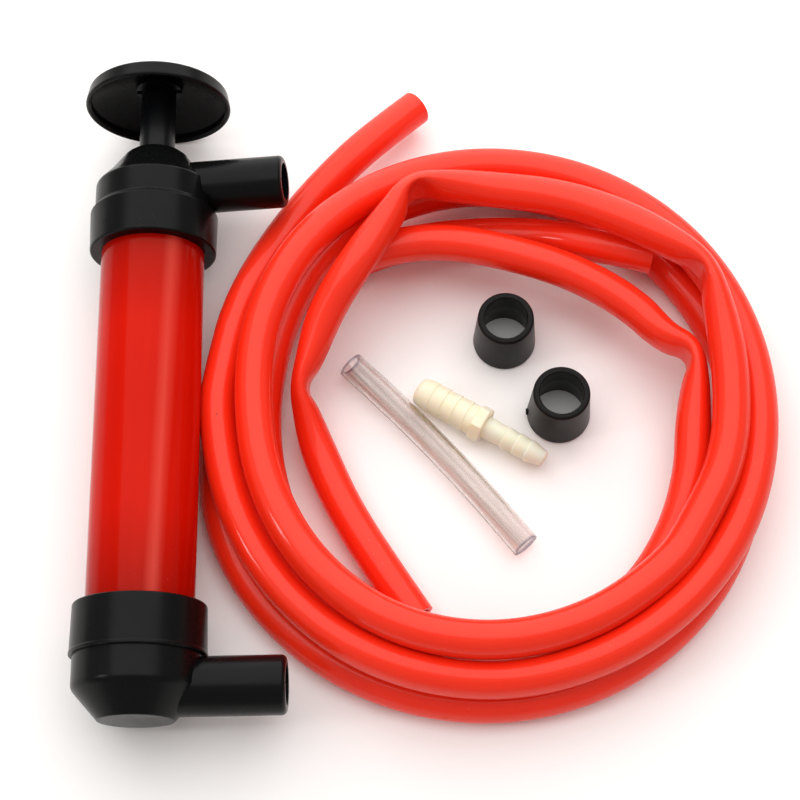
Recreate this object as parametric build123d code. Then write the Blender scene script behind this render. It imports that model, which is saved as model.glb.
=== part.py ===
from build123d import *
import os
from math import atan2, cos, degrees, pi, radians, sin, tan

# A hand-operated plunger pump for oil and fuel, laid down on a table with its kit: two coiled
# hoses, two rubber hose adapters, a clear tube and a barbed reducer.
# Millimetres. +Z is up and the table is z = 0. The pump lies along +Y, foot first, and its two
# ports point to +X. The origin is on the table, under the middle of the pump and its small parts.
# Each pump piece is turned about its own +Z first: z runs along the pump from the foot's end
# face, and +X points to the ports. lay() then lays the piece down.

# ---------------------------------------------------------------- driving dimensions
# Where the pump lies
pump_x = -66.7                  # the pump's axis
foot_y = -122.7                 # the foot's end face

# Fits
bond_gap = 0.05                 # radial, between pieces that are glued or pressed together
running_gap = 0.05              # radial, between pieces that slide or turn
valve_gap = 0.1                 # a closed flap over its seat

# Barrel
barrel_od = 38.0
barrel_wall = 2.5
barrel_length = 158.2
socket_depth = 12.6             # how far each end of the barrel sits in its cap

# Foot cap
foot_end_r = 13.2
foot_cone_length = 10.6
foot_body_r = 22.5
foot_body_length = 11.3
foot_ring_length = 17.8
foot_port_below_ring = 10.4     # the port's axis, from the ring's step
foot_port_od = 20.5
foot_port_reach = 51.0          # the mouth, from the pump's axis
foot_port_roll = 0.0            # degrees; positive lifts the mouth off the table

# Head cap
head_body_r = 22.0
head_body_length = 11.4
head_ring_length = 15.0
head_ring_slope = 2.0           # the step at the head's ring is a short cone
head_cone_length = 5.7
dome_base_r = 17.1
dome_length = 9.0
dome_top_r = 12.1
dome_lip_r = 10.0               # the flat round the rod
dome_lip_drop = 1.7
head_port_above_ring = 11.4
head_port_od = 19.5
head_port_reach = 49.5
head_port_roll = 6.5

# Both caps
ring_r = 23.6
ring_lip = 0.2                  # the foot's ring stands out this much more at its step
ring_lip_length = 1.0
ring_draft = 0.35               # the ring is this much smaller at its open end
ring_round = 0.8
end_wall = 3.2
chamber_corner = 3.0
cut_over = 1.0                  # how far a cut runs past the face that it opens

# Ports
port_bore_r = 6.9
port_bore_depth = 24.0
waterway_r = 4.4
mouth_round = 1.8

# Foot valve
gasket_thickness = 1.8
gasket_width = 2.5
seat_thickness = 2.5
seat_ports = 6
seat_port_r = 2.4
seat_port_circle_r = 8.5
valve_pin_r = 2.0
valve_pin_barb = 0.8            # radial
valve_pin_barb_length = 1.8
valve_pin_head_r = 5.0
valve_pin_head_height = 2.2
foot_flap_r = 13.0
foot_flap_thickness = 1.5
foot_flap_lift = 2.5
flap_bore_gap = 0.25

# Plunger
rod_od = 13.3
rod_wall = 2.25
piston_standoff = 29.2          # barrel's foot end to the piston's flange
piston_flange_gap = 0.6         # radial, from the flange to the barrel
piston_flange_thickness = 2.6
cup_width = 5.3                 # radial, from the drum to the barrel
cup_height = 5.35
cup_base = 2.0
cup_lip = 1.2
retainer_thickness = 1.9
retainer_width = 3.6
retainer_stop = 0.6             # how far the head cap's stop laps over the retainer
core_ports = 6
core_port_r = 2.2
core_port_edge = 1.1            # left between a port and the drum's side
piston_flap_overlap = 0.8       # how far the flap covers past the core's ports
piston_flap_thickness = 1.3
piston_flap_lift = 2.0
spigot_grip = 12.0              # the piston core's spigot, inside the rod

# Rod gland
gland_counterbore_r = 9.2
gland_chamber_r = 10.4
gland_bush_length = 3.4
rod_seal_section = 2.5
gland_land = 6.0                # the dome that is left to guide the rod

# Handle
handle_r = 27.6
handle_gap = 19.7               # dome to rim as the pump lies, pushed in most of the way
handle_side = 5.8
handle_side_draft = 1.1
handle_rim_wall = 2.1
handle_rim_round = 0.9
handle_corner = 1.2
handle_dome = 7.8               # the outside is a shallow cap of a sphere, and so is the dish
handle_plate = 2.6
collar_r = 8.7
collar_height = 3.0
collar_slot = 2.4
collar_web = 0.8                # left under the slot
rod_end_cover = 1.7             # plastic left over the rod's end

# Hose adapters, standing on the table
adapter_height = 21.8
adapter_top_r = 10.3
adapter_base_r = 11.75
adapter_bore_r = 8.0
adapter_bore_length = 8.0       # below that the bore widens to the base
adapter_base_bore_r = 9.5
adapter_rim_round = 1.0
adapter_nub_r = 1.2
adapter_nub_height = 2.6
adapter_nub_out = 0.4           # how far it stands out
adapter_nub_root = 1.2          # how far it reaches into the sleeve
adapter_places = ((63.3, 23.6, 80.0), (82.4, -6.3, 179.0))      # x, y and where its nub faces

# Clear tube
clear_od = 10.3
clear_wall = 1.05
clear_corner = 2.6              # its two straight ends meet this far off the line between them
clear_straight = 15.0           # at each end
clear_ends = ((5.4, 13.1), (68.1, -58.5))

# Barbed reducer
reducer_from = (30.55, 2.3)    # the wide end, on the table
reducer_towards = (74.75, -25.5)
wide_barb_r = 6.0
wide_barbs = 4
wide_tip_length = 6.4
wide_root_length = 3.2          # from the last barb to the hexagon
narrow_barb_r = 4.35
narrow_barbs = 3
narrow_tip_length = 6.8
narrow_root_length = 8.4
barb_pitch = 4.9
barb_step = 0.4
wide_tip_taper = 0.9
wide_tip_round = 2.2
narrow_tip_taper = 1.5
narrow_tip_round = 0.8
hex_width = 12.4                # across flats
hex_length = 4.6
reducer_bore_r = 2.4

# Hoses
hose_od = 13.5

# The lower hose's coil, and the upper hose's coil that lies on it, each as one ring
lower_ring_outer = (53.3, -15.4, 105.0)         # x, y, radius
lower_ring_inner = (61.8, -7.9, 83.5)
upper_ring_outer = (55.9, -11.2, 103.2)
upper_ring_inner = (56.8, -4.6, 80.0)
ring_edge_round = 5.0
arc_share = 0.45                # of the shorter run at a corner, that the corner's arc takes up

# The stretches that leave the coils: the corners of each route
suction_start_route = [
    (119, 47.7, 21), (97, 61.2, 12), (71, 65.2, 7), (46.5, 64.7, 7), (19, 60.7, 7), (-3, 49.2, 7),
    (-22, 35.2, 7)]
suction_inner_route = [
    (88, -90.3, 7), (107.5, -76.8, 6.75), (121.5, -56.3, 7), (129.5, -32.8, 7), (131, -12.8, 7.5),
    (134, 2.7, 8), (132, 11.7, 8), (122.5, 21.2, 7), (111.5, 34.7, 7), (90.5, 47.2, 9.5), (67.5, 54.2, 15),
    (43.5, 58.2, 19), (23.5, 55.7, 20.5), (10, 50.2, 22.5)]
delivery_inner_route = [
    (28.5, -84.8, 7), (15.5, -64.8, 7.5), (3, -43.8, 7), (-5.5, -24.3, 8.5), (-11.2, -8.3, 13),
    (-12.2, 2.7, 17.5), (-9, 12.7, 22), (-2.8, 24.7, 27.5), (7.1, 39.7, 35), (18.2, 57.1, 36),
    (26.6, 71.4, 34), (39.5, 73.6, 31.5), (60.5, 73.2, 28), (84.5, 69.2, 28.5), (106.5, 58.2, 33),
    (125, 46.2, 34.5),
    (136, 37.2, 33), (140, 22.2, 31), (143, -3.3, 28.5), (140, -33.8, 27)]
delivery_outer_route = [
    (-40, 8.7, 20.3), (-35, 31.2, 17.5), (-26.5, 52.5, 12.5), (-15.3, 71.9, 10.5), (-1.1, 87.6, 13.5),
    (14.3, 102.7, 15), (31.7, 119.3, 10.5)]

# ---------------------------------------------------------------- worked out from those
barrel_r = barrel_od / 2
barrel_bore_r = barrel_r - barrel_wall
socket_r = barrel_r + bond_gap
seated_r = socket_r - 2 * bond_gap              # seat plates and gaskets, inside a cap's socket
rod_r = rod_od / 2
rod_bore_r = rod_r - rod_wall

foot_ring_start = foot_cone_length + foot_body_length
foot_ring_end = foot_ring_start + foot_ring_length
barrel_start = foot_ring_end - socket_depth
barrel_end = barrel_start + barrel_length
seat_top = barrel_start - gasket_thickness
seat_bottom = seat_top - seat_thickness
foot_port_z = foot_ring_start - foot_port_below_ring
ring_open_r = ring_r - ring_draft

head_ring_start = barrel_end - socket_depth
head_ring_end = head_ring_start + head_ring_length
head_shoulder = barrel_end + gasket_thickness
head_body_end = head_ring_end + head_body_length
dome_start = head_body_end + head_cone_length
dome_end = dome_start + dome_length
head_port_z = head_ring_end + head_port_above_ring

gasket_bore_r = seated_r - gasket_width
piston_flange_r = barrel_bore_r - piston_flange_gap
piston_start = barrel_start + piston_standoff
drum_r = barrel_bore_r - cup_width
core_port_circle_r = drum_r - core_port_edge - core_port_r
cup_start = piston_start + piston_flange_thickness + running_gap
cup_end = cup_start + cup_height
drum_end = cup_end + running_gap + retainer_thickness
cup_r = barrel_bore_r - running_gap
cup_bore_r = drum_r + running_gap
retainer_r = drum_r + retainer_width
piston_flap_r = core_port_circle_r + core_port_r + piston_flap_overlap
piston_flap_start = drum_end + valve_gap
rod_start = piston_flap_start + piston_flap_thickness + piston_flap_lift + valve_gap
spigot_r = rod_bore_r - bond_gap

gland_end = dome_end - gland_land
bush_start = gland_end - rod_seal_section - gland_bush_length

handle_front = dome_end + handle_gap
handle_back_r = handle_r - handle_side_draft
handle_end = handle_front + handle_side + handle_dome
handle_sphere_r = (handle_back_r ** 2 + handle_dome ** 2) / (2 * handle_dome)
rod_end = handle_end - rod_end_cover - bond_gap

# The pump rests on the lip of its foot ring and on the front rim of its handle
lip_r = ring_r + ring_lip
pitch = degrees(atan2(handle_r - lip_r, handle_front - foot_ring_start))
axis_height = lip_r * cos(radians(pitch)) - foot_ring_start * sin(radians(pitch))

# Pushed in, the handle's rim stops short of the head port; pulled out, the piston stops on the cap
travel_spare = 0.5
push_travel = handle_front - head_port_z - head_port_od / 2 - travel_spare
pull_travel = head_shoulder - drum_end - travel_spare
valve_pin_top = seat_top + valve_gap + foot_flap_thickness + foot_flap_lift + valve_gap


# ---------------------------------------------------------------- helpers
def turned(*corners):
    """A solid turned about Z from (radius, height) corners; a third value rounds that corner."""
    outline = Polyline(*[(c[0], c[1]) for c in corners], close=True)
    face = make_face(outline)
    for corner in corners:
        if len(corner) == 3:
            nearest = min(face.vertices(), key=lambda v: abs(v.X - corner[0]) + abs(v.Y - corner[1]))
            face = fillet(nearest, corner[2])
    return revolve(Plane.XZ * face, Axis.Z)


def ring(inner_r, outer_r, low, high):
    """A plain ring about Z."""
    return turned((inner_r, low), (outer_r, low), (outer_r, high), (inner_r, high))


def rod_between(radius, start, end, height, roll):
    """A cylinder from one distance off the pump's axis to another, towards a port's mouth."""
    lies_out = Rot(Z=-roll) * Pos(start, 0, height) * Rot(Y=90)
    return lies_out * Cylinder(radius, end - start, align=(Align.CENTER, Align.CENTER, Align.MIN))


def drilled(solid, radius, circle_r, count, low, high):
    """The solid with a circle of holes along Z."""
    hole = Cylinder(radius, high - low, align=(Align.CENTER, Align.CENTER, Align.MIN))
    for i in range(count):
        turn = Rot(Z=360 / count * i)
        solid = solid - turn * Pos(circle_r, 0, low) * hole
    return solid


def lay(solid):
    """Lays a pump piece down on the table."""
    return Pos(pump_x, foot_y, axis_height) * Rot(X=pitch - 90) * solid


def route_radii(route):
    """The largest arc that each corner's two runs leave room for."""
    points = [Vector(*p) for p in route]
    radii = []
    for before, here, after in zip(points, points[1:], points[2:]):
        half_turn = radians((here - before).get_angle(after - here) / 2)
        shorter = min((here - before).length, (after - here).length)
        radii.append(arc_share * shorter / tan(half_turn))
    return radii


def hose_along(name, route):
    """A hose's solid: straight runs joined by tangent arcs."""
    radii = route_radii(route)
    path = FilletPolyline(*route, radius=radii)
    section = Plane(path @ 0, z_dir=path % 0) * Circle(hose_od / 2)
    solid = sweep(section, path)
    whole = pi * (hose_od / 2) ** 2 * path.length
    print(f"{name}: length {path.length:.0f}, volume / section x length {solid.volume / whole:.4f}, radii",
          [round(r) for r in radii])
    return solid


def coil_ring(outer, inner, low):
    """One closed ring with the outer shape of a coil that is one hose thick."""
    disc = Pos(outer[0], outer[1]) * Circle(outer[2])
    hole = Pos(inner[0], inner[1]) * Circle(inner[2])
    solid = Pos(0, 0, low) * extrude(disc - hole, hose_od)
    return fillet(solid.edges(), ring_edge_round)


# ---------------------------------------------------------------- caps
def port(od, reach, height, roll):
    """The outside of a hose port."""
    tube = rod_between(od / 2, 0, reach, height, roll)
    mouth = tube.edges().filter_by(GeomType.CIRCLE).sort_by(Axis.X)[-1]
    return fillet(mouth, mouth_round)


def port_bores(reach, height, roll, stop_r):
    """The socket that takes the hose, and the waterway from it into the cap."""
    socket = rod_between(port_bore_r, reach - port_bore_depth, reach + cut_over, height, roll)
    waterway = rod_between(waterway_r, stop_r, reach, height, roll)
    return socket + waterway


def make_foot_cap():
    """Cup with a conical base, a socket ring for the barrel and the inlet port."""
    outside = turned(
        (0, 0), (foot_end_r, 0, 0.8), (foot_body_r, foot_cone_length, 3.5), (foot_body_r, foot_ring_start),
        (lip_r, foot_ring_start, 0.4), (lip_r, foot_ring_start + ring_lip_length),
        (ring_r, foot_ring_start + 1.5 * ring_lip_length), (ring_open_r, foot_ring_end, ring_round),
        (0, foot_ring_end))
    chamber_top = seat_bottom + cut_over
    chamber = turned(
        (0, end_wall), (foot_end_r - end_wall, end_wall), (gasket_bore_r, foot_cone_length),
        (gasket_bore_r, chamber_top), (0, chamber_top))
    socket = Pos(0, 0, seat_bottom) * Cylinder(
        socket_r, foot_ring_end, align=(Align.CENTER, Align.CENTER, Align.MIN))
    bores = port_bores(foot_port_reach, foot_port_z, foot_port_roll, foot_end_r - end_wall)
    inlet = port(foot_port_od, foot_port_reach, foot_port_z, foot_port_roll)
    return outside + inlet - (chamber + socket + bores)


def make_head_cap():
    """Mirror of the foot, drawn in to a dome that guides the rod."""
    stop_r = retainer_r - retainer_stop
    chamber_start = head_shoulder - cut_over
    outside = turned(
        (0, head_ring_start), (ring_open_r, head_ring_start, ring_round), (ring_r, head_ring_end, 0.6),
        (head_body_r, head_ring_end + head_ring_slope, 1.0), (head_body_r, head_body_end, 1.5),
        (dome_base_r, dome_start, 6.0), (dome_top_r, dome_end - dome_lip_drop, 2.0),
        (dome_lip_r, dome_end, 1.2), (0, dome_end))
    chamber = turned(
        (0, chamber_start), (stop_r, chamber_start), (stop_r, head_body_end - chamber_corner),
        (gland_chamber_r, bush_start), (0, bush_start))
    socket = Pos(0, 0, head_ring_start - cut_over) * Cylinder(
        socket_r, head_shoulder - head_ring_start + cut_over, align=(Align.CENTER, Align.CENTER, Align.MIN))
    rod_way_r = rod_r + 2 * running_gap
    gland = turned(
        (0, bush_start - cut_over), (gland_counterbore_r, bush_start - cut_over),
        (gland_counterbore_r, gland_end), (rod_way_r, gland_end), (rod_way_r, dome_end + cut_over),
        (0, dome_end + cut_over))
    bores = port_bores(head_port_reach, head_port_z, head_port_roll, gland_chamber_r)
    outlet = port(head_port_od, head_port_reach, head_port_z, head_port_roll)
    return outside + outlet - (chamber + socket + gland + bores)


# ---------------------------------------------------------------- pump pieces that stay still
def make_barrel():
    return ring(barrel_bore_r, barrel_r, barrel_start, barrel_end)


def make_gasket(low):
    return ring(gasket_bore_r, seated_r, low, low + gasket_thickness)


def make_foot_valve_seat():
    """Plate with a circle of ports around the pin's hole."""
    plate = ring(valve_pin_r + bond_gap, seated_r, seat_bottom, seat_top)
    return drilled(
        plate, seat_port_r, seat_port_circle_r, seat_ports, seat_bottom - cut_over, seat_top + cut_over)


def make_foot_valve_pin():
    """Mushroom pin: barbed under the seat, with a head that stops the flap."""
    barb_r = valve_pin_r + valve_pin_barb
    under = seat_bottom - bond_gap
    tip = under - valve_pin_barb_length
    head_end = valve_pin_top + valve_pin_head_height
    return turned(
        (0, tip), (valve_pin_r - 0.5, tip), (barb_r, under - 0.4), (barb_r, under),
        (valve_pin_r, under), (valve_pin_r, valve_pin_top), (valve_pin_head_r, valve_pin_top),
        (valve_pin_head_r, valve_pin_top + 0.4 * valve_pin_head_height),
        (0.65 * valve_pin_head_r, head_end - 0.2), (0, head_end))


def make_gland_bush():
    """Pressed into the head cap under the rod seal."""
    return ring(rod_r + 2 * running_gap, gland_counterbore_r - bond_gap, bush_start,
                bush_start + gland_bush_length)


def make_rod_seal():
    """O-ring of nearly square section in its groove, with a rounded lip on the rod."""
    low = bush_start + gland_bush_length
    high = gland_end
    outer = gland_counterbore_r - bond_gap
    inner = rod_r + running_gap
    return turned((inner, low, 0.9), (outer, low, 0.6), (outer, high, 0.6), (inner, high, 0.9))


# ---------------------------------------------------------------- pump pieces that move
def make_foot_valve_flap():
    low = seat_top + valve_gap
    return ring(valve_pin_r + flap_bore_gap, foot_flap_r, low, low + foot_flap_thickness)


def make_piston_cup():
    """Rubber cup that seals on the barrel, with its lips towards the head."""
    middle = (cup_bore_r + cup_r) / 2
    return turned(
        (cup_bore_r, cup_start), (cup_r - 0.5, cup_start), (cup_r, cup_start + cup_base),
        (cup_r, cup_end), (cup_r - cup_lip, cup_end), (middle, cup_start + cup_base),
        (cup_bore_r + cup_lip, cup_end), (cup_bore_r, cup_end))


def make_piston_core():
    """Flange and drum with a circle of ports, on a spigot that fills the rod's end."""
    spigot_end = rod_start + spigot_grip
    core = turned(
        (0, piston_start), (piston_flange_r, piston_start, 0.5),
        (piston_flange_r, piston_start + piston_flange_thickness),
        (drum_r, piston_start + piston_flange_thickness), (drum_r, drum_end), (spigot_r, drum_end),
        (spigot_r, spigot_end, 0.8), (0, spigot_end))
    return drilled(
        core, core_port_r, core_port_circle_r, core_ports, piston_start - cut_over, drum_end + cut_over)


def make_piston_retainer():
    """Ring on the drum that keeps the cup on the piston, and stops against the head cap."""
    return ring(drum_r + bond_gap, retainer_r, cup_end + running_gap, drum_end)


def make_piston_valve_flap():
    return ring(spigot_r + flap_bore_gap, piston_flap_r, piston_flap_start,
                piston_flap_start + piston_flap_thickness)


def make_plunger_rod():
    return ring(rod_bore_r, rod_r, rod_start, rod_end)


def make_handle_disc():
    """Dished palm disc: a deep rim, a domed outside and a slotted collar round the rod."""
    inner_r = handle_r - handle_rim_wall
    centre = Pos(0, 0, handle_end - handle_sphere_r)
    disc = turned(
        (0, handle_front), (handle_r, handle_front, handle_rim_round),
        (handle_back_r, handle_front + handle_side), (handle_back_r, handle_end), (0, handle_end))
    disc = disc & centre * Sphere(handle_sphere_r)
    corner = disc.edges().filter_by(GeomType.CIRCLE).sort_by(SortBy.RADIUS)
    back = min(corner, key=lambda e: abs(e.center().Z - handle_front - handle_side))
    disc = fillet(back, handle_corner)
    dish = turned(
        (0, handle_front - cut_over), (inner_r + handle_rim_round, handle_front - cut_over),
        (inner_r + handle_rim_round, handle_front), (inner_r, handle_front + handle_rim_round),
        (inner_r - 0.3, handle_end), (0, handle_end))
    dish = dish & centre * Sphere(handle_sphere_r - handle_plate)
    floor = handle_end - handle_plate
    collar = ring(rod_r, collar_r, floor - collar_height, floor)
    slot = Pos(0, 0, floor - collar_height - collar_web) * Box(
        2 * handle_r, collar_slot, collar_height, align=(Align.CENTER, Align.CENTER, Align.MIN))
    rod_hole = Pos(0, 0, floor - collar_height - cut_over) * Cylinder(
        rod_r + bond_gap, rod_end + bond_gap - floor + collar_height + cut_over,
        align=(Align.CENTER, Align.CENTER, Align.MIN))
    return disc - dish + (collar - slot) - rod_hole


# ---------------------------------------------------------------- the kit's small parts
def make_adapter(x, y, nub_angle):
    """Tapered rubber sleeve, with the nub that its gate left near the base."""
    bore_end = adapter_height - adapter_bore_length
    sleeve = turned(
        (adapter_base_bore_r, 0), (adapter_base_r, 0, 0.8),
        (adapter_top_r, adapter_height, adapter_rim_round), (adapter_bore_r, adapter_height, 0.4),
        (adapter_bore_r, bore_end))
    nub_from = Pos(adapter_base_r - adapter_nub_root, 0, adapter_nub_height)
    nub = Rot(Z=nub_angle) * nub_from * Rot(Y=90) * Cylinder(
        adapter_nub_r, adapter_nub_root + adapter_nub_out, align=(Align.CENTER, Align.CENTER, Align.MIN))
    return Pos(x, y, 0) * (sleeve + nub)


def make_clear_tube():
    """Cut length of clear tube with the bow of the reel that it came from."""
    start, end = (Vector(*p, clear_od / 2) for p in clear_ends)
    along = (end - start).normalized()
    corner = (start + end) * 0.5 + Vector(-along.Y, along.X, 0) * clear_corner
    half_turn = atan2(clear_corner, (end - start).length / 2)
    bend = ((corner - start).length - clear_straight) / tan(half_turn)
    path = FilletPolyline(start, corner, end, radius=bend)
    section = Plane(path @ 0, z_dir=path % 0) * (Circle(clear_od / 2) - Circle(clear_od / 2 - clear_wall))
    return sweep(section, path)


def barb_corners(tip_r, tip_round, barb_r, tip_length, count, root_length):
    """Outline of one barbed end, from its tip at height 0 to its root."""
    corners = [(tip_r, 0, tip_round), (barb_r, tip_length)]
    root_r = barb_r - barb_step
    for i in range(1, count):
        height = tip_length + barb_pitch * i
        corners += [(root_r, height - barb_pitch + 0.4), (barb_r, height)]
    last = tip_length + barb_pitch * (count - 1)
    top = last + root_length
    return corners + [(root_r, last + 0.4), (barb_r - 0.1, top)], top


def make_reducer():
    """Barbed reducer: a wide and a narrow end each side of a hexagonal collar."""
    wide, wide_top = barb_corners(
        wide_barb_r - wide_tip_taper, wide_tip_round, wide_barb_r, wide_tip_length, wide_barbs,
        wide_root_length)
    narrow, narrow_top = barb_corners(
        narrow_barb_r - narrow_tip_taper, narrow_tip_round, narrow_barb_r, narrow_tip_length,
        narrow_barbs, narrow_root_length)
    wide_end = turned((0, 0), *wide, (0, wide_top))
    length = wide_top + hex_length + narrow_top
    narrow_end = Pos(0, 0, length) * Rot(X=180) * turned((0, 0), *narrow, (0, narrow_top))
    hexagon = RegularPolygon(hex_width / 2, 6, major_radius=False)
    collar = Pos(0, 0, wide_top) * extrude(hexagon, hex_length)
    collar = chamfer(collar.edges().filter_by(Plane.XY), 0.5)
    bore = Pos(0, 0, -cut_over) * Cylinder(
        reducer_bore_r, length + 2 * cut_over, align=(Align.CENTER, Align.CENTER, Align.MIN))
    reducer = wide_end + collar + narrow_end - bore
    heading = degrees(atan2(reducer_towards[1] - reducer_from[1], reducer_towards[0] - reducer_from[0]))
    tip = degrees(atan2(hex_width / 2 - wide_barb_r, wide_top - wide_tip_length))
    laid = Pos(*reducer_from, 0) * Rot(Z=heading) * Rot(Y=90 - tip) * Rot(Z=90) * reducer
    return Pos(0, 0, -laid.bounding_box().min.Z) * laid


# ---------------------------------------------------------------- nodes
nodes = {
    "barrel": lay(make_barrel()),
    "foot_cap": lay(make_foot_cap()),
    "head_cap": lay(make_head_cap()),
    "foot_gasket": lay(make_gasket(seat_top)),
    "head_gasket": lay(make_gasket(barrel_end)),
    "foot_valve_seat": lay(make_foot_valve_seat()),
    "foot_valve_pin": lay(make_foot_valve_pin()),
    "gland_bush": lay(make_gland_bush()),
    "rod_seal": lay(make_rod_seal()),
    "foot_valve_flap": lay(make_foot_valve_flap()),
    "piston_cup": lay(make_piston_cup()),
    "piston_core": lay(make_piston_core()),
    "piston_retainer": lay(make_piston_retainer()),
    "plunger_rod": lay(make_plunger_rod()),
    "handle_disc": lay(make_handle_disc()),
    "piston_valve_flap": lay(make_piston_valve_flap()),
    "clear_tube": make_clear_tube(),
    "barbed_reducer": make_reducer(),
    "lower_hose_coil": coil_ring(lower_ring_outer, lower_ring_inner, 0),
    "upper_hose_coil": coil_ring(upper_ring_outer, upper_ring_inner, hose_od),
    "lower_hose_start": hose_along("lower_hose_start", suction_start_route),
    "lower_hose_inner_run": hose_along("lower_hose_inner_run", suction_inner_route),
    "upper_hose_inner_run": hose_along("upper_hose_inner_run", delivery_inner_route),
    "upper_hose_outer_end": hose_along("upper_hose_outer_end", delivery_outer_route),
}
for number, place in enumerate(adapter_places, 1):
    nodes[f"hose_adapter_{number}"] = make_adapter(*place)

os.makedirs("parts", exist_ok=True)
for name, solid in nodes.items():
    export_step(solid, f"parts/{name}.step")

print(f"pitch {pitch:.3f} deg, axis height at the foot {axis_height:.3f}")
print(f"travel: push {push_travel:.2f}, pull {pull_travel:.2f}")
print(f"ports at z {foot_port_z:.2f} and {head_port_z:.2f}; rod end {rod_end:.2f}; dome end {dome_end:.2f}")
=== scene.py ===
# %% [markdown]
# # A hand siphon pump, its two hoses and its small parts
# The object is a plunger pump for oil and fuel, laid flat on a table. Its barrel, caps, rod and
# handle are rigid mouldings, so they come ready made from the CAD model and only need finishes.
# The hoses are soft, so they are made here, together with the small marks that moulding and
# cutting leave behind. Everything is in metres, and each piece says which CAD body carries it.

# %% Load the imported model
from collections import namedtuple
from math import cos, exp, pi, radians, sin

import bmesh
import bpy
from mathutils import Matrix, Vector


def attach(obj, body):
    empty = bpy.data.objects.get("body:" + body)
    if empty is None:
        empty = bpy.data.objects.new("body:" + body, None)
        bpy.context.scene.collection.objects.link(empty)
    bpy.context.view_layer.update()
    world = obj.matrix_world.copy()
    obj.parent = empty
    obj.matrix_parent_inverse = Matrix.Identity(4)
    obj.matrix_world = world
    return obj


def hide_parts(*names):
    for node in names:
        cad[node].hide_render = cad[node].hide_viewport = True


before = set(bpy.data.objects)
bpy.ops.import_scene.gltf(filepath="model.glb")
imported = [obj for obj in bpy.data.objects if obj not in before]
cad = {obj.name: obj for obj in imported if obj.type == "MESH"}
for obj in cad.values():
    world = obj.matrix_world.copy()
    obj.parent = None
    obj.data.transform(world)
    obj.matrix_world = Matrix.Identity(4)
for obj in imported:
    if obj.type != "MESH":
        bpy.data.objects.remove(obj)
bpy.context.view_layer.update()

# %% [markdown]
# ## The camera
# A product picture like this is taken from above and a little in front. The camera's three axes
# are worked out from how far it looks down, how far it is turned, and its roll. They go straight
# into the object's matrix, which is plainer than a chain of rotations.

# %% Place the camera
CAMERA_PLACE = Vector((0.03488, -0.23841, 0.61851))
LOOK_FORWARD = radians(21.147)      # how far the view leans from straight down
TURN = radians(-2.703)              # how far it is turned from +Y
ROLL = radians(3.728)               # how far the picture is rolled
LENS_MM = 79.8

heading = Vector((sin(TURN), cos(TURN), 0))
view_axis = heading * sin(LOOK_FORWARD) - Vector((0, 0, cos(LOOK_FORWARD)))
level_up = heading * cos(LOOK_FORWARD) + Vector((0, 0, sin(LOOK_FORWARD)))
level_right = view_axis.cross(level_up)
picture_up = level_up * cos(ROLL) + level_right * sin(ROLL)
picture_right = level_right * cos(ROLL) - level_up * sin(ROLL)

camera = bpy.data.objects.new("camera", bpy.data.cameras.new("camera"))
bpy.context.collection.objects.link(camera)
camera.data.lens = LENS_MM
turned = Matrix((picture_right, picture_up, -view_axis)).transposed().to_4x4()
camera.matrix_world = Matrix.Translation(CAMERA_PLACE) @ turned
bpy.context.scene.camera = camera
print(f"camera {CAMERA_PLACE.z * 1000:.0f} mm above the table")

# %% [markdown]
# ## The hoses' routes
# Each hose is one length of soft tube that has lain in a coil. Its middle line is one NURBS
# spline. The run at each end has a few listed points, and the coil's turns come from a
# loop: every entry is the radius and the height of the hose one step further round. The turns
# differ in size, because nothing ties them.

# %% Work out the points of a route
COIL_CENTRE = Vector((0.056, -0.0113))
COIL_STEP = radians(22.5)
ANTICLOCKWISE, CLOCKWISE = 1, -1


def coil_points(first_angle, direction, turns):
    """Control points of a coil. A spline runs inside its points, so they stand further out."""
    points = []
    for step, (radius, height) in enumerate(turns):
        angle = radians(first_angle) + direction * step * COIL_STEP
        reach = radius / cos(COIL_STEP / 2)
        points.append((
            COIL_CENTRE.x + reach * cos(angle), COIL_CENTRE.y + reach * sin(angle), height))
    return points


# %% The delivery hose, from its inner end to its outer end
delivery_inner_route = [
    (0.0285, -0.0848, 0.00675), (0.0155, -0.0648, 0.007), (0.003, -0.0438, 0.00675),
    (-0.0055, -0.0243, 0.0085), (-0.0103, -0.0098, 0.0125), (-0.0124, -0.0003, 0.0165),
    (-0.0083, 0.0106, 0.0215), (-0.0028, 0.0247, 0.0275), (0.0078, 0.0397, 0.035),
    (0.0201, 0.0571, 0.036), (0.0285, 0.072, 0.034), (0.0406, 0.074, 0.0315),
    (0.0605, 0.0732, 0.028), (0.0845, 0.0689, 0.0295), (0.1062, 0.0578, 0.0342),
    (0.1247, 0.0457, 0.0355), (0.136, 0.0372, 0.033), (0.14, 0.0222, 0.031),
    (0.143, -0.0033, 0.0285), (0.14, -0.0338, 0.027), (0.1265, -0.0583, 0.025)]
delivery_turns = [
    (0.0847, 0.0245), (0.0853, 0.0255), (0.0865, 0.0275), (0.0875, 0.0290),
    (0.0860, 0.0285), (0.0842, 0.0280), (0.0836, 0.0290), (0.0873, 0.0315), (0.0905, 0.0329),
    (0.0949, 0.0262), (0.0988, 0.0202), (0.0992, 0.0195), (0.0994, 0.0185), (0.0980, 0.0193),
    (0.0968, 0.0199), (0.0971, 0.0200), (0.0974, 0.0201), (0.0977, 0.0202), (0.0987, 0.0198),
    (0.0996, 0.0229), (0.0982, 0.0187), (0.0973, 0.0183), (0.0974, 0.0201)]
delivery_outer_route = [
    (-0.04, 0.0087, 0.0195), (-0.0355, 0.0312, 0.0175), (-0.027, 0.0525, 0.0125),
    (-0.0153, 0.0719, 0.0105), (-0.0011, 0.0876, 0.0135), (0.0143, 0.1027, 0.015),
    (0.0317, 0.1193, 0.0105)]
delivery_route = (
    delivery_inner_route + coil_points(-45, CLOCKWISE, delivery_turns) + delivery_outer_route)
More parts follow.
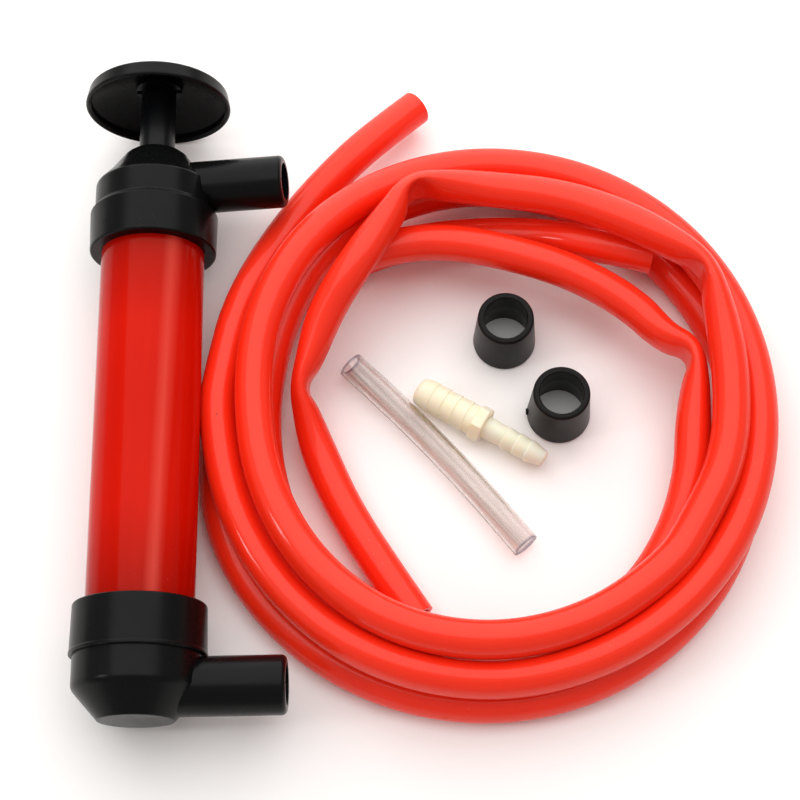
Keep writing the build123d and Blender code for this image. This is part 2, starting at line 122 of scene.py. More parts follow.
print(len(delivery_route), "points on the delivery hose's route")

# %% The suction hose, from its outer end to its inner end
suction_start_route = [
    (0.1189, 0.048, 0.0203), (0.0976, 0.0539, 0.0203), (0.073, 0.0638, 0.0085),
    (0.0465, 0.0647, 0.007), (0.019, 0.0607, 0.00675), (-0.0025, 0.0497, 0.007),
    (-0.025, 0.0337, 0.00675), (-0.036, 0.0097, 0.00675)]
suction_turns = [
    (0.0978, 0.00675), (0.1042, 0.00675), (0.1052, 0.00675), (0.1050, 0.00675),
    (0.1043, 0.00675), (0.1028, 0.00675), (0.1003, 0.00675), (0.0970, 0.00675),
    (0.0936, 0.00675), (0.0913, 0.00675), (0.0920, 0.00675), (0.0944, 0.00675),
    (0.0960, 0.0071), (0.0927, 0.0127), (0.0880, 0.0197), (0.0831, 0.0169), (0.0824, 0.0092),
    (0.0834, 0.0068), (0.0859, 0.0094), (0.0891, 0.0144), (0.0888, 0.0097)]
suction_inner_route = [
    (0.088, -0.0903, 0.007), (0.1073, -0.0773, 0.0085), (0.1209, -0.0576, 0.0115),
    (0.1283, -0.0354, 0.0145), (0.1295, -0.0164, 0.0172), (0.1318, 0.0016, 0.019),
    (0.1298, 0.0106, 0.0205), (0.1204, 0.015, 0.0215), (0.1096, 0.028, 0.022),
    (0.0893, 0.0411, 0.0225), (0.067, 0.0493, 0.0225), (0.0434, 0.0553, 0.022),
    (0.0235, 0.0544, 0.0218), (0.01, 0.0502, 0.0225)]
suction_route = (
    suction_start_route + coil_points(180, ANTICLOCKWISE, suction_turns) + suction_inner_route)
print(len(suction_route), "points on the suction hose's route")

# %% [markdown]
# ## From a route to a hollow hose
# A curve with a round bevel would give the tube at once, but it can't fold. So the mesh is made
# ring by ring along the spline. Where the tube has been bent too sharply it buckles: its round
# section turns into an oval and the wall on the inside of the bend folds in. A cut end is open,
# so its wall turns inward and runs down the bore.

# %% Read the middle line of a route
STEPS_PER_POINT = 10                # how finely the spline is followed


def middle_line(name, route):
    """Points along one smooth NURBS spline."""
    curve = bpy.data.curves.new(name, "CURVE")
    curve.dimensions = "3D"
    curve.resolution_u = STEPS_PER_POINT
    spline = curve.splines.new("NURBS")
    spline.points.add(len(route) - 1)
    for control, place in zip(spline.points, route):
        control.co = (*place, 1)
    spline.order_u = 3
    spline.use_endpoint_u = True
    holder = bpy.data.objects.new(name, curve)
    bpy.context.collection.objects.link(holder)
    mesh = bpy.data.meshes.new_from_object(holder)
    line = [vertex.co.copy() for vertex in mesh.vertices]
    bpy.data.objects.remove(holder)
    return line


def distances(line):
    """How far along the line each of its points is."""
    along = [0.0]
    for here, after in zip(line, line[1:]):
        along.append(along[-1] + (after - here).length)
    return along


delivery_line = middle_line("delivery_line", delivery_route)
suction_line = middle_line("suction_line", suction_route)
delivery_length = distances(delivery_line)[-1]
suction_length = distances(suction_line)[-1]
print(f"delivery hose {delivery_length:.3f} m, suction hose {suction_length:.3f} m")

# %% Where each hose has buckled
RIGHT, LEFT = 1, -1                 # the side that folds in, going along the route
BUCKLE_REACH = 4                    # how many spreads away a buckle is still worked out
FOLD_SHARPER = 3                    # a fold is this much shorter than the flat part round it

# flat: how oval the tube is. fold: how deep its wall goes in. spread: how far along it reaches.
Buckle = namedtuple("Buckle", "place side flat fold spread")
delivery_buckles = [
    Buckle((-0.0117, -0.0003, 0.0165), RIGHT, flat=0.85, fold=0.3, spread=0.012),
    Buckle((0.0305, 0.0711, 0.034), RIGHT, flat=0.8, fold=0.72, spread=0.0135),
    Buckle((0.1355, 0.0362, 0.0335), RIGHT, flat=0.7, fold=0.5, spread=0.0135)]
suction_buckles = [
    Buckle((0.1303, 0.0068, 0.0197), LEFT, flat=0.8, fold=0.35, spread=0.012)]


def buckle_at(distance, placed_buckles):
    """How flat and how folded the hose is at a distance along it, and which side folds."""
    flat, fold, side = 0.0, 0.0, RIGHT
    for centre, buckle in placed_buckles:
        away = (distance - centre) / buckle.spread
        if abs(away) < BUCKLE_REACH:
            flat = max(flat, buckle.flat * exp(-away ** 2 / 2))
            deeper = buckle.fold * exp(-(away * FOLD_SHARPER) ** 2 / 2)
            if deeper > fold:
                fold, side = deeper, buckle.side
    return flat, fold, side


print(len(delivery_buckles) + len(suction_buckles), "buckles")

# %% One ring of a hose, and the skin between two rings
HOSE_R = 0.00675
BORE_R = 0.00525
HOSE_SIDES = 32
FLAT_RISE, FLAT_SQUEEZE = 0.28, 0.42        # how much taller and narrower a flat hose gets
CM_PER_METRE = 100                  # the material reads the way along the hose in centimetres


def add_ring(shell, layers, centre, right, up, radius, buckle, distance):
    """One ring of vertices. It stores what the hose's material reads later."""
    flat, fold, fold_side = buckle
    height = 1 + FLAT_RISE * flat
    ring = []
    for k in range(HOSE_SIDES):
        angle = 2 * pi * k / HOSE_SIDES
        across = cos(angle) * (1 - FLAT_SQUEEZE * flat)
        facing = max(0.0, cos(angle) * fold_side)
        across -= fold_side * fold * facing ** 2
        vertex = shell.verts.new(
            centre + right * (radius * across) + up * (radius * height * sin(angle)))
        vertex[layers["along_hose"]] = (cos(angle), sin(angle), distance * CM_PER_METRE)
        vertex[layers["stress"]] = fold
        ring.append(vertex)
    return ring


def join_rings(shell, ring, following):
    """Faces from one ring to another."""
    for k in range(HOSE_SIDES):
        n = (k + 1) % HOSE_SIDES
        shell.faces.new((ring[k], ring[n], following[n], following[k]))


# %% Build a hose
BORE_SHOWN = 0.045                  # how far the bore is made, from a cut end
SHARP_FROM = radians(50)            # edges that turn more than this stay sharp


def hose_mesh(name, line, buckles):
    """A hollow tube with open ends along the line, buckled where it was bent too far."""
    along = distances(line)
    placed_buckles = []
    for buckle in buckles:
        nearest = min(range(len(line)), key=lambda i: (line[i] - Vector(buckle.place)).length)
        placed_buckles.append((along[nearest], buckle))
    shell = bmesh.new()
    layers = {"along_hose": shell.verts.layers.float_vector.new("along_hose"),
              "stress": shell.verts.layers.float.new("stress")}
    wall, first_bore, last_bore = [], [], []
    for i, middle in enumerate(line):
        before, after = line[max(i - 1, 0)], line[min(i + 1, len(line) - 1)]
        forward = (after - before).normalized()
        right = forward.cross(Vector((0, 0, 1))).normalized()
        up = right.cross(forward)
        buckle = buckle_at(along[i], placed_buckles)
        half_height = HOSE_R * (1 + FLAT_RISE * buckle[0])
        centre = middle + Vector((0, 0, max(0.0, half_height - middle.z)))
        wall.append(add_ring(shell, layers, centre, right, up, HOSE_R, buckle, along[i]))
        for bore, end_gap in ((first_bore, along[i]), (last_bore, along[-1] - along[i])):
            if end_gap <= BORE_SHOWN:
                bore.append(add_ring(shell, layers, centre, right, up, BORE_R, buckle, along[i]))
    for rings in (wall, first_bore, last_bore):
        for ring, following in zip(rings, rings[1:]):
            join_rings(shell, ring, following)
    join_rings(shell, wall[0], first_bore[0])
    join_rings(shell, wall[-1], last_bore[-1])
    shell.faces.new(first_bore[-1])
    shell.faces.new(last_bore[0])
    bmesh.ops.recalc_face_normals(shell, faces=shell.faces)
    mesh = bpy.data.meshes.new(name)
    shell.to_mesh(mesh)
    shell.free()
    mesh.shade_smooth()
    mesh.set_sharp_from_angle(angle=SHARP_FROM)
    piece = bpy.data.objects.new(name, mesh)
    bpy.context.collection.objects.link(piece)
    return piece


# %% Make both hoses
delivery_hose = hose_mesh("delivery_hose", delivery_line, delivery_buckles)
suction_hose = hose_mesh("suction_hose", suction_line, suction_buckles)
for hose, line, length, stood_for in (
        (delivery_hose, delivery_line, delivery_length,
         ("upper_hose_inner_run", "upper_hose_coil", "upper_hose_outer_end")),
        (suction_hose, suction_line, suction_length,
         ("lower_hose_start", "lower_hose_coil", "lower_hose_inner_run"))):
    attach(hose, "pump_body")
    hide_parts(*stood_for)
    print(hose.name, len(hose.data.vertices), "vertices")

# %% [markdown]
# ## Helpers for materials
# A material is a small network of nodes. These helpers keep each one short enough to read: they
# add a node and plug things into it, start a node group with named sockets, and make the few
# kinds of node that every finish here uses.

# %% Helpers for node networks
def add(tree, kind, plugs=None, **settings):
    """Adds a node. plugs gives each input a value or the output that feeds it."""
    made = tree.nodes.new(kind)
    for key, value in settings.items():
        setattr(made, key, value)
    for key, value in (plugs or {}).items():
        if isinstance(value, bpy.types.NodeSocket):
            tree.links.new(value, made.inputs[key])
        else:
            made.inputs[key].default_value = value
    return made


def start_group(name, takes, gives):
    """An empty shader node group with named sockets, its input node and its output node."""
    tree = bpy.data.node_groups.new(name, "ShaderNodeTree")
    for label, kind, value in takes:
        socket = tree.interface.new_socket(
            label, in_out="INPUT", socket_type="NodeSocket" + kind)
        if value is not None:
            socket.default_value = value
    for label, kind in gives:
        tree.interface.new_socket(label, in_out="OUTPUT", socket_type="NodeSocket" + kind)
    return tree, tree.nodes.new("NodeGroupInput"), tree.nodes.new("NodeGroupOutput")


def place_group(tree, group, plugs):
    """Places a group in a material with its own values."""
    return add(tree, "ShaderNodeGroup", plugs, node_tree=group)


# %% Helpers for values and colours
def maths(tree, operation, *values):
    """Works out one value from others."""
    return add(tree, "ShaderNodeMath", dict(enumerate(values)), operation=operation).outputs[0]


def noise(tree, vector, scale, detail=3.0, roughness=0.5):
    """A noise texture's value."""
    made = add(tree, "ShaderNodeTexNoise", {
        "Vector": vector, "Scale": scale, "Detail": detail, "Roughness": roughness})
    return made.outputs["Fac"]


def remap(tree, value, low, high, to_low=0.0, to_high=1.0):
    """Stretches the part of a value from low to high, and cuts off the rest."""
    made = add(tree, "ShaderNodeMapRange", {
        "Value": value, "From Min": low, "From Max": high, "To Min": to_low, "To Max": to_high})
    return made.outputs["Result"]


def blend_colour(tree, factor, first, second):
    """Mixes two colours by a factor. A Mix node has a set of sockets for each type of data."""
    factor_socket, first_socket, second_socket, colour_out = 0, 6, 7, 2
    made = add(tree, "ShaderNodeMix", {
        factor_socket: factor, first_socket: first, second_socket: second}, data_type="RGBA")
    return made.outputs[colour_out]


def object_place(tree):
    """Where a point is on the object, in metres."""
    return add(tree, "ShaderNodeTexCoord").outputs["Object"]


def bumped(tree, height, strength, distance):
    """A normal that is tilted by a height."""
    made = add(tree, "ShaderNodeBump", {
        "Height": height, "Strength": strength, "Distance": distance})
    return made.outputs["Normal"]


# %% [markdown]
# ## Finishes that several materials share
# Three effects turn up on more than one piece: the fine grain that a mould leaves, dust that
# settles on top, and edges that are rubbed pale. Each is a node group, built once, and every
# material places it with values of its own.

# %% Moulded grain
grain_group, given, result = start_group(
    "moulded_grain",
    [("Vector", "Vector", None), ("Scale", "Float", 900.0), ("Blotch Scale", "Float", 60.0)],
    [("Height", "Float"), ("Blotches", "Float")])
fine = noise(grain_group, given.outputs["Vector"], given.outputs["Scale"], 2.0)
broad = noise(grain_group, given.outputs["Vector"], given.outputs["Blotch Scale"], 3.0, 0.6)
grain_group.links.new(fine, result.inputs["Height"])
grain_group.links.new(remap(grain_group, broad, 0.3, 0.7), result.inputs["Blotches"])
print("group", grain_group.name)

# %% Settled dust
DUST_PATCH_SCALE = 45.0             # dust lies in patches, bigger than its motes

dust_group, given, result = start_group(
    "settled_dust",
    [("Vector", "Vector", None), ("Scale", "Float", 700.0), ("Amount", "Float", 0.3)],
    [("Mask", "Float")])
facing = add(dust_group, "ShaderNodeSeparateXYZ", {
    "Vector": dust_group.nodes.new("ShaderNodeNewGeometry").outputs["Normal"]})
upward = remap(dust_group, facing.outputs["Z"], 0.2, 1.0)
motes = add(dust_group, "ShaderNodeTexVoronoi", {
    "Vector": given.outputs["Vector"], "Scale": given.outputs["Scale"]})
motes = remap(dust_group, motes.outputs["Distance"], 0.05, 0.12, 1.0, 0.0)
patches = noise(dust_group, given.outputs["Vector"], DUST_PATCH_SCALE, 3.0)
patches = remap(dust_group, patches, 0.56, 0.68)
lying = maths(dust_group, "MULTIPLY", maths(dust_group, "MULTIPLY", motes, patches), upward)
lying = maths(dust_group, "MULTIPLY", lying, given.outputs["Amount"])
dust_group.links.new(lying, result.inputs["Mask"])
print("group", dust_group.name)

# %% Rubbed edges
edge_group, given, result = start_group(
    "rubbed_edges",
    [("Width", "Float", 0.0006), ("Strength", "Float", 0.5)],
    [("Mask", "Float")])
softened = add(edge_group, "ShaderNodeBevel", {"Radius": given.outputs["Width"]}, samples=4)
true_normal = edge_group.nodes.new("ShaderNodeNewGeometry").outputs["Normal"]
agree = add(edge_group, "ShaderNodeVectorMath", {0: softened.outputs[0], 1: true_normal},
            operation="DOT_PRODUCT")
turned_away = remap(edge_group, agree.outputs["Value"], 0.99, 0.82)
rubbed = maths(edge_group, "MULTIPLY", turned_away, given.outputs["Strength"])
edge_group.links.new(rubbed, result.inputs["Mask"])
print("group", edge_group.name)

# %% [markdown]
# ## Black moulded plastic
# The caps, the rod and the handle are one black plastic. It isn't flat black: the grain breaks up
# the light, the sheen changes a little from place to place, edges are rubbed grey, and there is a
# little dust on top. Roughness and bump carry most of that. The rubber adapters and the seals
# inside the pump are finished the same way, with other values.

# %% Start a material
def start_material(name, **constants):
    """A material, its tree, and its Principled shader with the constant values set."""
    material = bpy.data.materials.new(name)
    material.use_nodes = True
    shader = material.node_tree.nodes["Principled BSDF"]
    for label, value in constants.items():
        shader.inputs[label.replace("_", " ")].default_value = value
    return material, material.node_tree, shader


# %% Black plastics and rubbers
BLACK_DUST = (0.25, 0.23, 0.21, 1)
BLOTCH_SHADE = 0.75                 # how dark a blotch is beside the rest


def black_finish(name, colour, worn, dusty, rough, grain_scale, grain_depth, specular):
    """A dark moulding: colour, its worn edge, its dust, how rough it is, and its grain."""
    material, tree, shader = start_material(name, Specular_IOR_Level=specular)
    place = object_place(tree)
    grain = place_group(tree, grain_group, {
        "Vector": place, "Scale": grain_scale, "Blotch Scale": 55.0})
    dust = place_group(tree, dust_group, {"Vector": place, "Scale": 650.0, "Amount": dusty})
    edges = place_group(tree, edge_group, {"Width": 0.0005, "Strength": 0.55})
    duller = tuple(BLOTCH_SHADE * part for part in colour[:3]) + (1,)
    base = blend_colour(tree, grain.outputs["Blotches"], colour, duller)
    base = blend_colour(tree, edges.outputs["Mask"], base, worn)
    base = blend_colour(tree, dust.outputs["Mask"], base, BLACK_DUST)
    tree.links.new(base, shader.inputs["Base Color"])
    sheen = remap(tree, grain.outputs["Blotches"], 0, 1, rough - 0.04, rough + 0.06)
    tree.links.new(sheen, shader.inputs["Roughness"])
    tree.links.new(
        bumped(tree, grain.outputs["Height"], 0.35, grain_depth), shader.inputs["Normal"])
    print("finish", material.name)
    return material


black_cap = black_finish(
    "black_cap_plastic", colour=(0.0034, 0.0036, 0.0036, 1), worn=(0.007, 0.007, 0.007, 1),
    dusty=0.30, rough=0.26, grain_scale=1400.0, grain_depth=0.00005, specular=0.12)
black_rod = black_finish(
    "black_rod_plastic", colour=(0.0032, 0.0036, 0.0044, 1), worn=(0.014, 0.014, 0.016, 1),
    dusty=0.12, rough=0.28, grain_scale=1600.0, grain_depth=0.00003, specular=0.17)
adapter_rubber = black_finish(
    "adapter_rubber", colour=(0.0060, 0.0050, 0.0046, 1), worn=(0.012, 0.010, 0.010, 1),
    dusty=0.30, rough=0.36, grain_scale=1100.0, grain_depth=0.00006, specular=0.11)
inner_rubber = black_finish(
    "inner_rubber", colour=(0.02, 0.019, 0.018, 1), worn=(0.04, 0.04, 0.04, 1),
    dusty=0.0, rough=0.6, grain_scale=1000.0, grain_depth=0.00006, specular=0.4)

# %% [markdown]
# ## Red plastics
# The hoses are soft glossy PVC. Its colour is even, so the interest is in the sheen: long faint
# streaks from the die that the tube was pushed through, a slight ripple, whitened folds and a
# dark speck here and there. The streaks follow the hose, so they use a value that was stored on
# the mesh ring by ring. The barrel is a harder tube of the same red. Shade is painted on it
# towards the caps, where they shade it, and a painted highlight runs along the top as a pale
# line.

# %% The hoses' soft red PVC
HOSE_RED, HOSE_RED_STREAK = (0.92, 0.0200, 0.0038, 1), (0.93, 0.0250, 0.0056, 1)
HOSE_FOLD, HOSE_DUST = (1.0, 0.09, 0.055, 1), (0.9, 0.5, 0.42, 1)
HOSE_SPECK = (0.10, 0.01, 0.008, 1)

hose_pvc, tree, shader = start_material(
    "red_hose_pvc", Specular_IOR_Level=0.26, Specular_Tint=(1.0, 0.90, 0.70, 1),
    Coat_Weight=0.38, Coat_Roughness=0.10, Coat_Tint=(1.0, 0.98, 0.95, 1))
along_hose = add(tree, "ShaderNodeAttribute", attribute_name="along_hose").outputs["Vector"]
stretched = add(tree, "ShaderNodeMapping", {"Vector": along_hose, "Scale": (1.0, 1.0, 0.05)})
streaks = noise(tree, stretched.outputs["Vector"], 9.0, 3.0, 0.6)
ripple = noise(tree, object_place(tree), 90.0, 2.0)
folded = add(tree, "ShaderNodeAttribute", attribute_name="stress").outputs["Fac"]
dust = place_group(tree, dust_group, {
    "Vector": object_place(tree), "Scale": 420.0, "Amount": 0.25})
specks = add(tree, "ShaderNodeTexVoronoi", {"Vector": object_place(tree), "Scale": 75.0})
few = remap(tree, specks.outputs["Color"], 0.80, 0.84)
tiny = remap(tree, specks.outputs["Distance"], 0.025, 0.045, 1.0, 0.0)
base = blend_colour(tree, remap(tree, streaks, 0.35, 0.65), HOSE_RED, HOSE_RED_STREAK)
base = blend_colour(tree, remap(tree, folded, 0.1, 0.9, 0.0, 0.25), base, HOSE_FOLD)
base = blend_colour(tree, dust.outputs["Mask"], base, HOSE_DUST)
base = blend_colour(tree, maths(tree, "MULTIPLY", few, tiny), base, HOSE_SPECK)
tree.links.new(base, shader.inputs["Base Color"])
tree.links.new(remap(tree, streaks, 0.3, 0.7, 0.42, 0.55), shader.inputs["Roughness"])
uneven = maths(tree, "MULTIPLY_ADD", streaks, 0.35, ripple)
tree.links.new(bumped(tree, uneven, 0.12, 0.0006), shader.inputs["Normal"])
for hose in (delivery_hose, suction_hose):
    hose.data.materials.clear()
    hose.data.materials.append(hose_pvc)
print("finish", hose_pvc.name)

# %% The barrel's hard red tube
BARREL_RED, BARREL_BLOTCH = (0.60, 0.0066, 0.0010, 1), (0.56, 0.0050, 0.0008, 1)
# The dim red is painted shade, laid on near the caps.
BARREL_STREAK, BARREL_PAINTED_SHADE = (0.68, 0.0110, 0.0030, 1), (0.10, 0.001, 0.0002, 1)
# The pale line's colour is a painted highlight, where the tube would catch the soft box.
BARREL_PAINTED_HIGHLIGHT, BARREL_DUST = (0.78, 0.10, 0.07, 1), (0.8, 0.45, 0.4, 1)
PAINTED_HIGHLIGHT_X = -0.0578                # where the pale line crosses Y = 0
PAINTED_HIGHLIGHT_SLANT = 0.025              # it runs a little aslant
BARREL_FROM, BARREL_TO = -0.083, 0.049      # what shows of the barrel between the two caps
CAP_SHADE_LENGTH = 0.032                  # how far from a cap it is darker

barrel_red, tree, shader = start_material(
    "red_barrel_plastic", Specular_IOR_Level=0.09, Specular_Tint=(1.0, 0.92, 0.72, 1))
place = object_place(tree)
long_streaks = add(tree, "ShaderNodeMapping", {"Vector": place, "Scale": (1.0, 0.04, 1.0)})
streaks = noise(tree, long_streaks.outputs["Vector"], 260.0, 3.0, 0.6)
grain = place_group(tree, grain_group, {
    "Vector": place, "Scale": 700.0, "Blotch Scale": 22.0})
dust = place_group(tree, dust_group, {"Vector": place, "Scale": 500.0, "Amount": 0.25})
spot = add(tree, "ShaderNodeSeparateXYZ", {"Vector": place})
# Painted highlight: a pale line along the top of the barrel, a little aslant.
highlight_line_x = maths(tree, "MULTIPLY_ADD", spot.outputs["Y"], PAINTED_HIGHLIGHT_SLANT, PAINTED_HIGHLIGHT_X)
from_highlight_line = maths(tree, "ABSOLUTE", maths(tree, "SUBTRACT", spot.outputs["X"], highlight_line_x))
painted_highlight_line = remap(tree, from_highlight_line, 0.0003, 0.0034, 0.38, 0.0)
# Painted shade: the tube is darker towards the caps, where they shade it.
middle, half_length = (BARREL_FROM + BARREL_TO) / 2, (BARREL_TO - BARREL_FROM) / 2
from_middle = maths(tree, "ABSOLUTE", maths(tree, "SUBTRACT", spot.outputs["Y"], middle))
painted_cap_shade = remap(tree, from_middle, half_length - CAP_SHADE_LENGTH, half_length, 0.0, 0.45)
base = blend_colour(tree, grain.outputs["Blotches"], BARREL_RED, BARREL_BLOTCH)
base = blend_colour(tree, remap(tree, streaks, 0.5, 0.75, 0, 0.35), base, BARREL_STREAK)
base = blend_colour(tree, painted_cap_shade, base, BARREL_PAINTED_SHADE)
base = blend_colour(tree, painted_highlight_line, base, BARREL_PAINTED_HIGHLIGHT)
base = blend_colour(tree, dust.outputs["Mask"], base, BARREL_DUST)
tree.links.new(base, shader.inputs["Base Color"])
tree.links.new(remap(tree, streaks, 0.3, 0.7, 0.08, 0.14), shader.inputs["Roughness"])
tree.links.new(bumped(tree, streaks, 0.1, 0.0003), shader.inputs["Normal"])
print("finish", barrel_red.name)

# %% [markdown]
# ## Pale nylon and clear tube
# Nylon is waxy: light goes in a little way, so its colour is warm and uneven. The clear tube is
# soft PVC, so it passes light straight through but has a faint tint, a slightly cloudy skin and
# painted shade at its cut ends.

# %% Nylon
NYLON_GLOW = (1.0, 0.8, 0.5)        # how far red, green and blue light go in, by comparison
RUBBED_NYLON = 1.08                 # how much brighter its rubbed edges are


def nylon_finish(name, colour, shade):
    """A waxy pale moulding."""
    material, tree, shader = start_material(
        name, Specular_IOR_Level=0.3, Subsurface_Weight=0.8, Subsurface_Scale=0.005,
        Subsurface_Radius=NYLON_GLOW)
    place = object_place(tree)
    grain = place_group(tree, grain_group, {
        "Vector": place, "Scale": 900.0, "Blotch Scale": 80.0})
    edges = place_group(tree, edge_group, {"Width": 0.0004, "Strength": 0.5})
    base = blend_colour(tree, grain.outputs["Blotches"], colour, shade)
    base = blend_colour(tree, edges.outputs["Mask"], base,
                        tuple(min(1, RUBBED_NYLON * part) for part in colour))
    tree.links.new(base, shader.inputs["Base Color"])
    sheen = remap(tree, grain.outputs["Blotches"], 0, 1, 0.38, 0.5)
    tree.links.new(sheen, shader.inputs["Roughness"])
    tree.links.new(bumped(tree, grain.outputs["Height"], 0.25, 0.00008), shader.inputs["Normal"])
    print("finish", material.name)
    return material


ivory_nylon = nylon_finish("ivory_nylon", (0.97, 0.87, 0.66, 1), (0.96, 0.84, 0.61, 1))
white_nylon = nylon_finish("white_nylon", (0.80, 0.79, 0.74, 1), (0.74, 0.73, 0.68, 1))

# %% Clear PVC
TUBE_HEADING = radians(-48.8)       # which way the clear tube points, from +X
TUBE_MIDDLE, TUBE_HALF = 0.0413, 0.0476     # along that heading: its middle and half its length
TUBE_TINT, TUBE_CLOUD = (1.0, 0.98, 0.97, 1), (0.96, 0.94, 0.92, 1)
# The cut colour is painted shade on the tube's cut ends.
TUBE_DIE_LINE, TUBE_PAINTED_CUT_SHADE = (0.78, 0.74, 0.73, 1), (0.34, 0.31, 0.42, 1)
TUBE_SHADOW, TUBE_SMOKE = (0.93, 0.90, 0.89, 1), (0.60, 0.52, 0.47, 1)

clear_pvc, tree, shader = start_material(
    "clear_tube_pvc", IOR=1.5, Transmission_Weight=1.0, Metallic=0.0)
along_tube = add(tree, "ShaderNodeMapping", {
    "Vector": object_place(tree), "Rotation": (0, 0, -TUBE_HEADING)}).outputs[0]
drawn = add(tree, "ShaderNodeMapping", {"Vector": along_tube, "Scale": (0.02, 1.0, 1.0)})
die_lines = noise(tree, drawn.outputs["Vector"], 620.0, 3.0, 0.6)
cloudy = noise(tree, object_place(tree), 120.0, 3.0)
spot = add(tree, "ShaderNodeSeparateXYZ", {"Vector": along_tube})
from_middle = maths(tree, "ABSOLUTE", maths(tree, "SUBTRACT", spot.outputs["X"], TUBE_MIDDLE))
# Painted shade: the tube is darkened at its cut ends.
painted_cut_shade = remap(tree, from_middle, TUBE_HALF - 0.0012, TUBE_HALF - 0.0004, 0.0, 0.8)
base = blend_colour(tree, cloudy, TUBE_TINT, TUBE_CLOUD)
base = blend_colour(tree, remap(tree, die_lines, 0.42, 0.60, 0.0, 0.8), base, TUBE_DIE_LINE)
base = blend_colour(tree, painted_cut_shade, base, TUBE_PAINTED_CUT_SHADE)
tree.links.new(base, shader.inputs["Base Color"])
tree.links.new(remap(tree, cloudy, 0.3, 0.7, 0.02, 0.05), shader.inputs["Roughness"])
tree.links.new(bumped(tree, die_lines, 0.10, 0.0004), shader.inputs["Normal"])
lets_through = add(tree, "ShaderNodeBsdfTransparent", {"Color": TUBE_SHADOW})
seen = add(tree, "ShaderNodeLightPath")
shown = add(tree, "ShaderNodeMixShader", {
    0: seen.outputs["Is Shadow Ray"], 1: shader.outputs[0], 2: lets_through.outputs[0]})
tree.links.new(shown.outputs[0], tree.nodes["Material Output"].inputs["Surface"])
smoky = add(tree, "ShaderNodeVolumeAbsorption", {"Color": TUBE_SMOKE, "Density": 130.0})
tree.links.new(smoky.outputs[0], tree.nodes["Material Output"].inputs["Volume"])
print("finish", clear_pvc.name)

# %% Give the CAD nodes their finishes
FINISHES = {
    "barrel": barrel_red, "foot_cap": black_cap, "head_cap": black_cap, "handle_disc": black_cap,
    "plunger_rod": black_rod, "piston_core": black_rod, "hose_adapter_1": adapter_rubber,
    "hose_adapter_2": adapter_rubber, "clear_tube": clear_pvc, "barbed_reducer": ivory_nylon,
    "foot_valve_seat": white_nylon, "foot_valve_pin": white_nylon, "gland_bush": white_nylon,
    "piston_retainer": white_nylon, "foot_gasket": inner_rubber, "head_gasket": inner_rubber,
    "rod_seal": inner_rubber, "foot_valve_flap": inner_rubber, "piston_cup": inner_rubber,
    "piston_valve_flap": inner_rubber}
for node_name, finish in FINISHES.items():
    mesh = cad[node_name].data
    mesh.materials.clear()
    mesh.materials.append(finish)
print("finished", len(FINISHES), "CAD nodes")

# %% [markdown]
# ## The table and the light
# The table is a plain pale sheet. One very large soft box hangs above and behind, as in a light
# tent, and the world fills in from all round, so that a colour renders about as it is written.
# Glossy things show the box as a broad pale band with a clear edge, and a small far window adds a
# few thin glints. To the camera the table is a little brighter than it is to the light, and
# further out it goes over into a white backdrop. So it looks white and still keeps its shadows.

# %% The table
TABLE_HALF = 12                     # so wide that no view sees an edge
TABLE_DROP = 0.0003                 # keeps it clear of the undersides that lie on it
PAPER, PAPER_TONE = (0.90, 0.878, 0.862, 1), (0.92, 0.898, 0.882, 1)
WHITENED = 0.10                     # what it gains for the camera
BACKDROP_FROM_TO = (0.45, 1.3)      # how far out it goes over into a white backdrop

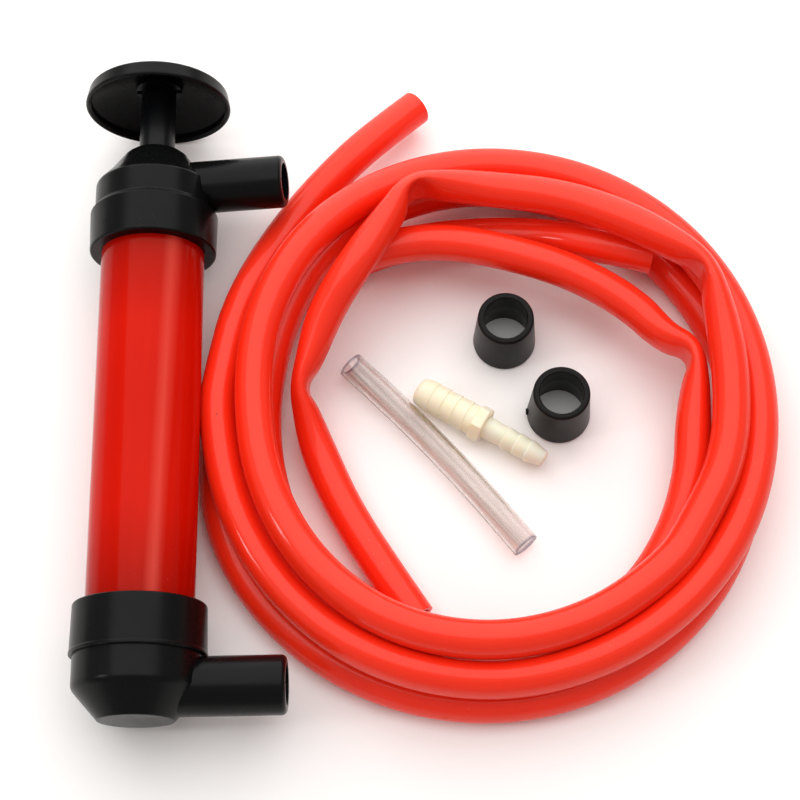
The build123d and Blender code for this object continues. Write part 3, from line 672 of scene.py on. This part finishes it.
table_mesh = bpy.data.meshes.new("table")
sheet = bmesh.new()
bmesh.ops.create_grid(sheet, x_segments=1, y_segments=1, size=TABLE_HALF)
sheet.to_mesh(table_mesh)
sheet.free()
table = bpy.data.objects.new("table", table_mesh)
table.location = (0, 0, -TABLE_DROP)
bpy.context.collection.objects.link(table)
paper, tree, shader = start_material("pale_paper", Specular_IOR_Level=0.0, Roughness=1.0)
tone = noise(tree, object_place(tree), 14.0, 2.0)
tree.links.new(blend_colour(tree, tone, PAPER, PAPER_TONE), shader.inputs["Base Color"])
gain = add(tree, "ShaderNodeBsdfDiffuse", {"Color": (WHITENED, WHITENED, WHITENED, 1)})
whitened = add(tree, "ShaderNodeAddShader", {0: shader.outputs[0], 1: gain.outputs[0]})
far_off = add(tree, "ShaderNodeVectorMath", {0: object_place(tree)}, operation="LENGTH")
far_off = remap(tree, far_off.outputs["Value"], *BACKDROP_FROM_TO)
backdrop = add(tree, "ShaderNodeEmission", {"Color": (1, 1, 1, 1), "Strength": 1.0})
whitened = add(tree, "ShaderNodeMixShader", {
    0: far_off, 1: whitened.outputs[0], 2: backdrop.outputs[0]})
seen = add(tree, "ShaderNodeLightPath")
looked_at = maths(
    tree, "MAXIMUM", seen.outputs["Is Camera Ray"], seen.outputs["Is Glossy Ray"])
looked_at = maths(tree, "MAXIMUM", looked_at, seen.outputs["Is Transmission Ray"])
shown = add(tree, "ShaderNodeMixShader", {
    0: looked_at, 1: shader.outputs[0], 2: whitened.outputs[0]})
tree.links.new(shown.outputs[0], tree.nodes["Material Output"].inputs["Surface"])
table_mesh.materials.append(paper)
print("finish", paper.name)

# %% The lamps and the world
WORLD_COLOUR, WORLD_STRENGTH = (1.0, 0.985, 0.97, 1), 0.46

world = bpy.data.worlds.new("even_light")
bpy.context.scene.world = world
world.use_nodes = True
sky = world.node_tree.nodes["Background"]
sky.inputs["Color"].default_value = WORLD_COLOUR
sky.inputs["Strength"].default_value = WORLD_STRENGTH


def soft_lamp(name, place, aim, width, height, watts):
    """A rectangular lamp that faces a point."""
    lamp = bpy.data.lights.new(name, "AREA")
    lamp.shape = "RECTANGLE"
    lamp.size, lamp.size_y, lamp.energy = width, height, watts
    holder = bpy.data.objects.new(name, lamp)
    holder.location = place
    holder.rotation_euler = (Vector(aim) - Vector(place)).to_track_quat("-Z", "Y").to_euler()
    bpy.context.collection.objects.link(holder)
    print(f"{name} {watts} W")


soft_lamp("soft_box", place=(0.02, 0.95, 0.78), aim=(0.02, 0.47, -0.09),
          width=2.0, height=2.83, watts=30.2)
soft_lamp("far_window", place=(-1.03, -0.19, 0.76), aim=(0.02, -0.05, 0.02),
          width=0.12, height=0.25, watts=1.4)

bpy.context.scene.view_settings.view_transform = "Standard"
